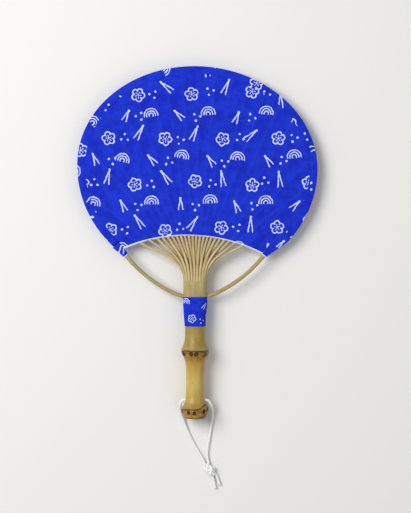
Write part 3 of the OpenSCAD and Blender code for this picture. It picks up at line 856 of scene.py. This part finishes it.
# Handle: one culm, round below and oval at the neck, with two nodes and their root scars
culmWork = {
    "roundTo": 0.094,  # where the neck starts to flatten
    "ovalFrom": 0.1173,
    "neckWide": 0.024,
    "neckDeep": 0.0144,
    "neckWall": 0.0016,
    "stemRadius": 9.3,  # millimetres, as all below
    "flare": (0.46, 0.28),
    "nodes": ((10, 13.5, 8.4, 5.2), (68.5, 14, 7, 8.5)),  # height, radius, reach below and above
    "lines": ((9.6, 4.4), (69, 0)),  # where the nodes' dark lines lie, and how far each climbs to the right
    "swellPower": 1.7,
    "across": 192,
    "edgeRound": 1.1,
    "hollow": 41.5,  # how deep the neck is open
    "worn": 0.12,
    "shake": (0.3, 0.2),  # how much the nodes' lines wander, in two waves
    "groove": (0.5, 0.5),  # depth and half width
    "lip": (1.3, 0.35, 0.7),  # height over the line, rise, half width
}
scarWork = {
    "seen": [  # angle from the top of the handle, height, radius, share that is dark right through
        (-57, 66.2, 2.3, 1), (-17, 66.1, 2.0, 0.5), (5, 66, 2.0, 0.35), (50, 65.4, 2.6, 0.1),
        (-30, 6.4, 1.9, 0.7), (-2, 6.2, 1.8, 0.6), (43, 7.6, 2.2, 1), (72, 9.4, 2.6, 1)],
    "hidden": [(95, 180, 24), (-180, -75, 22)],  # seeded rows on the back: from, to, step
    "specks": [(-15, 37, 0.55), (28, 88, 0.4), (-40, 24, 0.35)],
    "hiddenLevels": (65.8, 6.8),
    "depth": 0.5,
    "rim": (0.28, 0.35),  # rise and half width
    "middle": (0.35, 0.45),
    "reach": 1.8,  # in its own radius
    "ragged": 0.25,
}


def stemRadius(h):
    low, high = culmWork["nodes"][0][0], culmWork["nodes"][1][0]
    off = (h - low) / (high - low) * 2 - 1
    return culmWork["stemRadius"] + culmWork["flare"][0 if h < high else 1] * off * off


def culmRadius(h):  # with the swollen nodes
    radius = stemRadius(h)
    for at, top, below, above in culmWork["nodes"]:
        radius += (top - stemRadius(at)) * math.exp(-abs((h - at) / (below if h < at else above))
                                                    ** culmWork["swellPower"])
    return radius


def culmSection(h):  # flat and radius of the section at a height, in metres
    wide, deep = culmWork["neckWide"], culmWork["neckDeep"]
    t = min(max((h - culmWork["roundTo"]) / (culmWork["ovalFrom"] - culmWork["roundTo"]), 0), 1)
    below = culmRadius(min(h, culmWork["roundTo"]) * 1000) / 1000
    return (wide - deep) * t, mix(below, deep / 2, t)


def onSection(share, flat, radius):  # a point of the section, some share of the way round from the back
    side = -1 if share < 0.5 else 1
    run = 2 * (math.pi * radius + flat) * min(share, 1 - share) - flat / 2
    a = min(max(run / radius, 0), math.pi)
    straight = min(run, 0) - max(run - math.pi * radius, 0)
    return side * (flat / 2 + radius * math.sin(a) + straight), -radius * math.cos(a)


random.seed(4)
scars = list(scarWork["seen"])
for low, high, stepDeg in scarWork["hidden"]:
    for level in scarWork["hiddenLevels"]:
        angle = low
        while angle < high:
            scars.append((angle + random.uniform(-5, 5), level + random.uniform(-0.5, 0.7),
                          random.uniform(1.6, 2.4), random.uniform(0.1, 1)))
            angle += stepDeg + random.uniform(-5, 8)


def lineRise(angle, h):  # how far a node's dark line has climbed there
    level, climb = culmWork["lines"][0 if h < 40 else 1]
    return climb * smooth((math.sin(angle) - 0.15) / 0.85) * fade(h, 20, 10)


def nodeDetail(angle, h):  # extra radius in millimetres, and how dark the skin is there
    extra, dark = 0, 0
    for level, climb in culmWork["lines"]:
        slow, quick = culmWork["shake"]
        line = h - level - lineRise(angle, h)
        line += slow * math.sin(angle * 2 + level) + quick * math.sin(angle * 5 + 1)
        groove = hump(line, culmWork["groove"][1])
        above, rise, wide = culmWork["lip"]
        extra += rise * hump(line - above, wide) - culmWork["groove"][0] * groove
        dark = max(dark, 0.8 * groove * (0.7 + 0.3 * math.sin(angle * 7 + 2 * level)))
    for place, level, size, filled in scars:
        if abs(h - level) > size * scarWork["reach"]:
            continue
        turn = (angle - math.radians(place) + math.pi) % (2 * math.pi) - math.pi
        off = math.hypot(turn * 13.2, (h - level) * 0.9)
        off += scarWork["ragged"] * noise.noise(Vector((turn * 9, h * 0.7, level)))
        if off < size * scarWork["reach"]:
            rim, middle = scarWork["rim"], scarWork["middle"]
            extra += rim[0] * hump(off - size, rim[1]) + middle[0] * hump(off, middle[1])
            extra -= scarWork["depth"] * fade(off, size * 0.35, size * 0.5)
            dark = max(dark, min(1, 1.5 * hump(off - size * 0.68, 0.6)),
                       filled * fade(off, size * 0.7, size * 0.35))
    for place, level, size in scarWork["specks"]:
        off = math.hypot((angle - math.radians(place)) * 10, h - level)
        dark = max(dark, 0.7 * fade(off, size * 0.6, size * 0.7))
    return extra, dark


def culmStations():  # height and depth under the skin in millimetres, from the butt to the hollow's end
    edge, top = culmWork["edgeRound"], culmLength * 1000
    rows = [(0, 99), (0, 9), (0, 6), (0, 3), (0, edge + 0.4)]
    for k in range(5):
        a = math.pi / 2 * k / 4
        rows.append((edge * (1 - math.cos(a)), edge * (1 - math.sin(a))))
    h = edge
    while h < top - 0.1:
        h += 0.4 if min(abs(h - 8), abs(h - 67)) < 8 else 1.2  # finer round the nodes
        rows.append((min(h, top), 0))
    wall, floor = culmWork["neckWall"] * 1000, top - culmWork["hollow"]
    rows += [(top, 0.05), (top, wall / 2), (top, wall)]
    rows += [(top - depth, wall) for depth in (0.5, 5, 10, 15, 20, 26, 32, 38, 41)]
    return rows + [(floor, wall + 1), (floor, 99)]


culmRows = culmStations()


def culmPlace(u, v):
    h, inset = culmRows[v]
    flat, radius = culmSection(h / 1000)
    share = u / culmWork["across"]
    x, z = onSection(share, flat, radius)
    angle = math.atan2(x, z)
    if inset == 0:
        worn = culmWork["worn"] * noise.noise(Vector((x * 160, h * 0.06, z * 160)))
        shrink = 1 + (nodeDetail(angle, h)[0] * fade(h, 84, 8) + worn) / 1000 / radius
    else:
        shrink = max(1 - inset / 1000 / radius, 0)
    straight = math.copysign(min(abs(x), flat / 2), x) if shrink else 0
    point = (handleX + straight + (x - straight) * shrink, buttY + h / 1000, axisZ + z * shrink)
    return point, (share, h / 1000)


handle = rolledSheet("bamboo_handle", culmWork["across"], len(culmRows) - 1, culmPlace)
skin = [vertex.co for vertex in handle.data.vertices]
spots = [(math.atan2(p.x - handleX, p.z - axisZ), (p.y - buttY) * 1000) for p in skin]
markPoints(handle, "scar", [nodeDetail(angle, h)[1] if h < 90 else 0 for angle, h in spots])
markPoints(handle, "nodeBand", [max(smooth((h - 58) / 4) * fade(h, 68, 2), fade(h, 9, 2)) for _, h in spots])
markPoints(handle, "scraped", [smooth((h - 108) / 16) for _, h in spots])
markPoints(handle, "rise", [lineRise(angle, h) / 1000 for angle, h in spots])

# Bow: a thin round bamboo, bent in two arcs on each side, with flat tongues between the papers
bowWork = {
    "radius": 0.002,
    "midTurn": math.radians(25.5),
    "midRadius": 0.05309,
    "sideRadius": 0.13452,
    "earLength": 0.015,
    "hidden": 0.031,  # length under the paper
    "hiddenRows": 20,
    "tongueWide": 0.003,
    "tongueThick": 0.0012,
    "nodeAt": -0.0634,  # where its own small node lies, left of the handle's line
    "knob": (0.00035, 0.0011),  # rise and half width of that node
    "notch": (0.00015, 0.0008, 0.0016),  # the same beside it, and how far right of it
    "uneven": 0.00008,
    "step": 0.0015,
    "sides": 24,
    "neckRoom": (0.0001, 0.022),  # clearance in the neck, and how far to each side the cut goes
    "bandRoom": (0.0002, 0.03),
}
bowY = bowBox[0].y + bowWork["radius"]


def bowHalf():  # middle line to the right of the neck: point, heading
    mid, tip, step = bowWork["midTurn"], edgeWork["tipTurn"], bowWork["step"]
    inner, outer = bowWork["midRadius"], bowWork["sideRadius"]
    count = int(inner * mid / step) + 1
    turns = [mid * k / count for k in range(count)]
    rows = [(inner * math.sin(a), inner * (1 - math.cos(a)), a) for a in turns]
    x0, y0 = inner * math.sin(mid), inner * (1 - math.cos(mid))
    count = int(outer * (tip - mid) / step) + 1
    for k in range(count + 1):
        a = mix(mid, tip, k / count)
        x, y = outer * (math.sin(a) - math.sin(mid)), outer * (math.cos(mid) - math.cos(a))
        rows.append((x0 + x, y0 + y, a))
    x1, y1 = rows[-1][:2]
    mouth = len(rows) - 1
    for k in range(1, bowWork["hiddenRows"] + 1):
        run = bowWork["hidden"] * k / bowWork["hiddenRows"]
        rows.append((x1 + run * math.cos(tip), y1 + run * math.sin(tip), tip))
    return rows, mouth


rightRows, mouthRow = bowHalf()
bowLine = [(-x, y, -a) for x, y, a in reversed(rightRows[1:])] + rightRows
pastMouth = [abs(k - len(rightRows) + 1) - mouthRow for k in range(len(bowLine))]


def bowTube(newName, grow=0.0, span=None):  # the bow itself, or a wider tube that cuts its room
    rows = [(p, past) for p, past in zip(bowLine, pastMouth) if span is None or abs(p[0]) < span]

    def place(u, v):
        (x, y, heading), past = rows[v]
        into = smooth(past / bowWork["hiddenRows"] / (bowWork["earLength"] / bowWork["hidden"]))
        wide = mix(bowWork["radius"], bowWork["tongueWide"] / 2, into) + grow
        thick = mix(bowWork["radius"], bowWork["tongueThick"] / 2, into) + grow
        if grow == 0:
            off, knob, notch = x - bowWork["nodeAt"], bowWork["knob"], bowWork["notch"]
            knob = knob[0] * hump(off, knob[1]) - notch[0] * hump(off - notch[2], notch[1])
            slow = bowWork["uneven"] * noise.noise(Vector((x * 45, 2.2, 0))) * (1 - into)
            wide, thick = wide + knob + slow, thick + knob * (1 - into) + slow
        a = 2 * math.pi * u / bowWork["sides"]
        out = wide * math.sin(a)
        point = (handleX + x + out * math.sin(heading), bowY + y - out * math.cos(heading),
                 axisZ + thick * math.cos(a))
        return point, (a * bowWork["radius"], v * bowWork["step"])

    tube = rolledSheet(newName, bowWork["sides"], len(rows) - 1, place)
    editLooseEdges(tube)
    bpy.ops.mesh.fill_holes(sides=0)
    leaveEdit()
    return tube


bow = bowTube("bamboo_bow")
softShade(bow, 40)
finishPiece(bow, "fan", bowMaterial, "bow")

cutBy(handle, bowTube("bow_room", *bowWork["neckRoom"]))
bpy.ops.object.select_all(action="DESELECT")
bpy.ops.mesh.primitive_cylinder_add(vertices=40, radius=cordWork["holeRadius"], depth=0.05,
                                    rotation=(0, math.pi / 2, 0), location=(handleX, holeY, axisZ))
cutBy(handle, bpy.context.object)
softShade(handle, 50)
finishPiece(handle, "fan", skinMaterial, "culm_handle")
print("handle and bow made")


# Waist band: a strip of the printed paper, pasted round the neck
bandWork = {
    "low": 0.0942,
    "high": 0.124,
    "gap": 0.00012,  # between skin and paper
    "thick": 0.00025,
    "across": 120,
    "crease": 0.00012,
    "rows": 26,
    "round": 0.0665,  # the neck's girth there
}


def bandPlace(u, v):
    count = bandWork["rows"]
    k = v if v <= count else 2 * count + 1 - v
    inner = v > count
    share = u / bandWork["across"]
    h = mix(bandWork["low"], bandWork["high"], min(k, count) / count)
    flat, radius = culmSection(h)
    rise = bandWork["gap"] + (0 if inner else bandWork["thick"])
    x, z = onSection(share, flat, radius + rise)
    fold = 0 if inner else bandWork["crease"] * noise.noise(Vector((x * 260, h * 90, z * 260 + 4)))
    lift = 1 + fold / radius
    return (handleX + x * lift, buttY + h, axisZ + z * lift), (share * bandWork["round"] + 0.01, h)


band = rolledSheet("printed_band", bandWork["across"], 2 * bandWork["rows"] + 1, bandPlace)
editLooseEdges(band)
bpy.ops.mesh.bridge_edge_loops()
leaveEdit()
cutBy(band, bowTube("band_room", *bowWork["bandRoom"]))
softShade(band, 45)
finishPiece(band, "fan", bandPaper, "waist_band")
print("band wrapped")


# Papers: two sheets over the ribs, sunk a little between them, creased near the bow's ends
headWork = {
    "y": 0.07695,  # the middle of the head's oval
    "half": 0.123,  # its reach to each side, up and down
    "up": 0.103,
    "down": 0.115,
    "lean": 4.0,
    "paperThick": 0.0002,
    "ribHalf": 0.0006,
    "cell": 0.0013,
    "quickCell": 0.003,
    "flatOver": 0.0015,  # half width of the paper held flat on a rib
    "sinkWide": 0.0022,
    "above": 0.00002,  # gap between rib and paper
    "sink": 0.00028,
    "rimSink": 0.35,  # share of that on the rim
    "tongueHalf": 0.0008,
    "wave": 0.00006,
    "creaseWide": 0.0011,
    "creaseSide": (0.0024, 0.0013, 0.7),  # how far beside a crease the paper rises, how wide, how much
    "creases": [  # start, end, depth
        ((0.064, 0.012), (0.108, 0.056), 0.00025), ((0.071, 0.006), (0.112, 0.040), 0.0002),
        ((0.052, 0.004), (0.083, 0.030), 0.00014), ((-0.112, 0.020), (-0.074, -0.004), 0.00022),
        ((-0.100, 0.030), (-0.068, 0.004), 0.00014), ((-0.118, 0.045), (-0.098, 0.012), 0.00014),
        ((0.030, 0.110), (0.062, 0.128), 0.0001), ((-0.055, 0.085), (-0.020, 0.100), 0.00009)],
}


def lineAway(x, y, a, b):  # distance from a straight line, and where along it
    dx, dy = b[0] - a[0], b[1] - a[1]
    t = min(max(((x - a[0]) * dx + (y - a[1]) * dy) / (dx * dx + dy * dy), 0), 1)
    return math.hypot(x - a[0] - t * dx, y - a[1] - t * dy), t


def rimShare(x, y):  # 1 on the rim, 0 in the head's middle
    lean = math.radians(headWork["lean"])
    y = y - headWork["y"]
    across = x * math.cos(lean) - y * math.sin(lean)
    along = x * math.sin(lean) + y * math.cos(lean)
    return math.hypot(across / headWork["half"], along / (headWork["up"] if along > 0 else headWork["down"]))


tongues = [[(handleX + side * rightRows[k][0], bowY + rightRows[k][1]) for k in (mouthRow, -1)]
           for side in (-1, 1)]


def paperRelief(x, y):  # how far the paper sinks between the ribs, and how near it is to one
    nearest = min(lineAway(x, y, line["knee"], line["tip"])[0] for line in ribLines)
    nearest = min([nearest] + [max(lineAway(x, y, a, b)[0] - headWork["tongueHalf"], 0) for a, b in tongues])
    sunk = 1 - hump(max(nearest - headWork["flatOver"], 0), headWork["sinkWide"])
    depth = headWork["sink"] * sunk * mix(headWork["rimSink"], 1, fade(rimShare(x, y), 0.86, 0.08))
    beside, wide, rise = headWork["creaseSide"]
    for a, b, deep in headWork["creases"]:
        away, t = lineAway(x, y, a, b)
        along = math.sin(math.pi * min(max(t, 0.02), 0.98)) ** 0.5
        depth += deep * hump(away, headWork["creaseWide"]) * along
        depth -= deep * rise * hump(away - beside, wide) * math.sin(math.pi * t)
    depth += headWork["wave"] * noise.noise(Vector((x * 55, y * 55, 1.3)))
    return max(depth, -0.00018), fade(nearest, 0.0004, 0.0011)


def paperSheet(nodeName, newName, material, facing):
    low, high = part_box(nodeName)
    cell = headWork["cell"]
    wide, tall = high.x - low.x + 0.002, high.y - low.y + 0.002
    bpy.ops.object.select_all(action="DESELECT")
    bpy.ops.mesh.primitive_grid_add(x_subdivisions=int(wide / cell), y_subdivisions=int(tall / cell), size=1,
                                    location=((low.x + high.x) / 2, (low.y + high.y) / 2, 0))
    piece = bpy.context.object
    piece.name = newName
    piece.scale = (wide, tall, 1)
    bpy.ops.object.transform_apply(location=True, rotation=True, scale=True)
    base = axisZ + facing * (headWork["ribHalf"] + headWork["above"] + headWork["paperThick"] / 2)
    for vertex in piece.data.vertices:
        depth, _ = paperRelief(vertex.co.x, vertex.co.y)
        vertex.co.z = base - facing * depth
    applyNew(piece, "SOLIDIFY", thickness=headWork["paperThick"], offset=0)
    cutter = workCopy(nodeName, "cutter")
    pickOnly(cutter)
    stretch = 40  # so tall that it cuts the outline only
    cutter.scale.z = stretch
    cutter.location.z = (low.z + high.z) / 2 * (1 - stretch)
    bpy.ops.object.transform_apply(location=True, rotation=True, scale=True)
    cutBy(piece, cutter, "INTERSECT")
    markPoints(piece, "ridge", [paperRelief(vertex.co.x, vertex.co.y)[1] for vertex in piece.data.vertices])
    softShade(piece, 50)
    finishPiece(piece, "fan", material, nodeName)


paperSheet("front_paper", "face_sheet", facePaper, 1)
paperSheet("back_paper", "rear_sheet", backPaper, -1)
print("papers stretched")


# Rim binding: a folded strip, rounded over the rim
bindingWork = {
    "edge": 0.00055,
    "segments": 4,
}
binding = workCopy("rim_binding", "folded_binding")
bindingHalf = (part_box("rim_binding")[1].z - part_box("rim_binding")[0].z) / 2
editAll(binding)
bpy.ops.mesh.select_all(action="DESELECT")
bpy.ops.mesh.select_mode(type="EDGE")
bpy.ops.object.mode_set(mode="OBJECT")
facesAt = {}
for face in binding.data.polygons:
    for key in face.edge_keys:
        facesAt.setdefault(key, []).append(face.normal.copy())
for edge in binding.data.edges:
    ends = [binding.data.vertices[k].co for k in edge.vertices]
    out = Vector((ends[0].x, ends[0].y - headWork["y"], 0)).normalized()
    edge.select = (all(abs(abs(p.z - axisZ) - bindingHalf) < 0.00002 for p in ends)
                   and any(abs(way.z) < 0.1 and way.dot(out) > 0.3 for way in facesAt[edge.key]))
bpy.ops.object.mode_set(mode="EDIT")
bpy.ops.mesh.bevel(offset=bindingWork["edge"], segments=bindingWork["segments"], affect="EDGES")
bpy.ops.mesh.select_mode(type="VERT")
bpy.ops.mesh.select_all(action="SELECT")
bpy.ops.mesh.quads_convert_to_tris(quad_method="BEAUTY", ngon_method="BEAUTY")
bpy.ops.object.mode_set(mode="OBJECT")
softShade(binding, 40)
finishPiece(binding, "fan", bindingPaper, "rim_binding")

# Ears: pasted sleeves of the same paper round the bow's ends
earWork = {
    "edge": 0.00012,
    "crumple": 0.00006,
    "crumpleScale": 420,
}
for side in ("left", "right"):
    ear = workCopy("ear_strip_" + side, "pasted_ear_" + side)
    applyNew(ear, "BEVEL", width=earWork["edge"], segments=2, limit_method="ANGLE",
             angle_limit=math.radians(50))
    applyNew(ear, "SUBSURF", subdivision_type="SIMPLE", levels=2, render_levels=2)
    for vertex in ear.data.vertices:
        vertex.co += noise.noise_vector(vertex.co * earWork["crumpleScale"]) * earWork["crumple"]
    softShade(ear, 45)
    finishPiece(ear, "fan", earPaper, "ear_strip_" + side)
print("binding and ears folded")


# Thread: two plies, over the front ribs and under the rear ones
threadWork = {
    "diameter": 0.0007,
    "under": 0.0001,
    "step": 0.0003,
    "yarns": 2,
    "plaited": False,
    "yarnSides": 8,
    "turn": 0.0021,
    "core": 0,
    "yarnAt": 0.00016,
    "yarnDrop": 0.0,
    "yarnWide": 0.0002,
    "yarnThick": 0.00018,
    "fray": 0.0,
    "ribHalf": 0.00125,
    "endShort": 0.0002,
}


def threadPath():
    edgeCentre = Vector(edgeWork["centre"])
    radius = edgeWork["radius"] - threadWork["diameter"] / 2 - threadWork["under"]
    lift = headWork["ribHalf"] + threadWork["diameter"] / 2 + threadWork["under"]
    low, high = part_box("weave_thread")

    def at(angle, z):
        return (edgeCentre.x + radius * math.sin(angle), edgeCentre.y + radius * math.cos(angle), axisZ + z)

    first, last = [math.asin((x - edgeCentre.x) / radius)
                   for x in (low.x + threadWork["endShort"], high.x - threadWork["endShort"])]
    stops = [at(first, 0)]
    for number, line in enumerate(ribLines):
        off = line["knee"] - edgeCentre
        b = off.dot(line["way"])
        hit = line["knee"] + line["way"] * (math.sqrt(b * b - off.length_squared + radius * radius) - b)
        angle = math.atan2(hit.x - edgeCentre.x, hit.y - edgeCentre.y)
        tilt = math.cos(line["turn"] - angle)
        half = 0.8 * (threadWork["ribHalf"] + threadWork["diameter"] / 2) / tilt / radius
        stops += [at(angle + side * half, -lift if number % 2 else lift) for side in (-1, 1)]
    return roundedPath([*stops, at(last, 0)], threadWork["step"])


thread = laidStrands("woven_thread", threadPath(), threadWork)
finishPiece(thread, "fan", threadMaterial, "weave_thread")
print("thread woven")


# Floor and light
studio = {
    "floor": srgb(232, 231, 228),
    "keyPower": 34,
    "keySize": 1.1,
    "keyPlace": (-1.1, 0.6, 1.6),
    "fillPower": 4,
    "fillSize": 1.6,
    "fillPlace": (1.1, -0.5, 1.5),
    "world": 0.4,
}
bpy.ops.object.select_all(action="DESELECT")
bpy.ops.mesh.primitive_plane_add(size=6, location=(0, 0, 0))
floor = bpy.context.object
floor.name = "floor"
floor.data.materials.append(newMaterial("paleFloor", Base_Color=studio["floor"], Roughness=0.9,
                                        Specular_IOR_Level=0.1)[0])

for kind in ("key", "fill"):
    lamp = bpy.data.objects.new(kind + "Lamp", bpy.data.lights.new(kind + "Lamp", "AREA"))
    lamp.data.size = studio[kind + "Size"]
    lamp.data.energy = studio[kind + "Power"]
    lamp.location = studio[kind + "Place"]
    lamp.rotation_euler = (-lamp.location).to_track_quat("-Z", "Y").to_euler()
    scene.collection.objects.link(lamp)
world = bpy.data.worlds.new("studio")
scene.world = world
world.use_nodes = True
Graph(world.node_tree).feed(world.node_tree.nodes["Background"], {0: (1, 1, 1, 1), 1: studio["world"]})
print("studio lit")
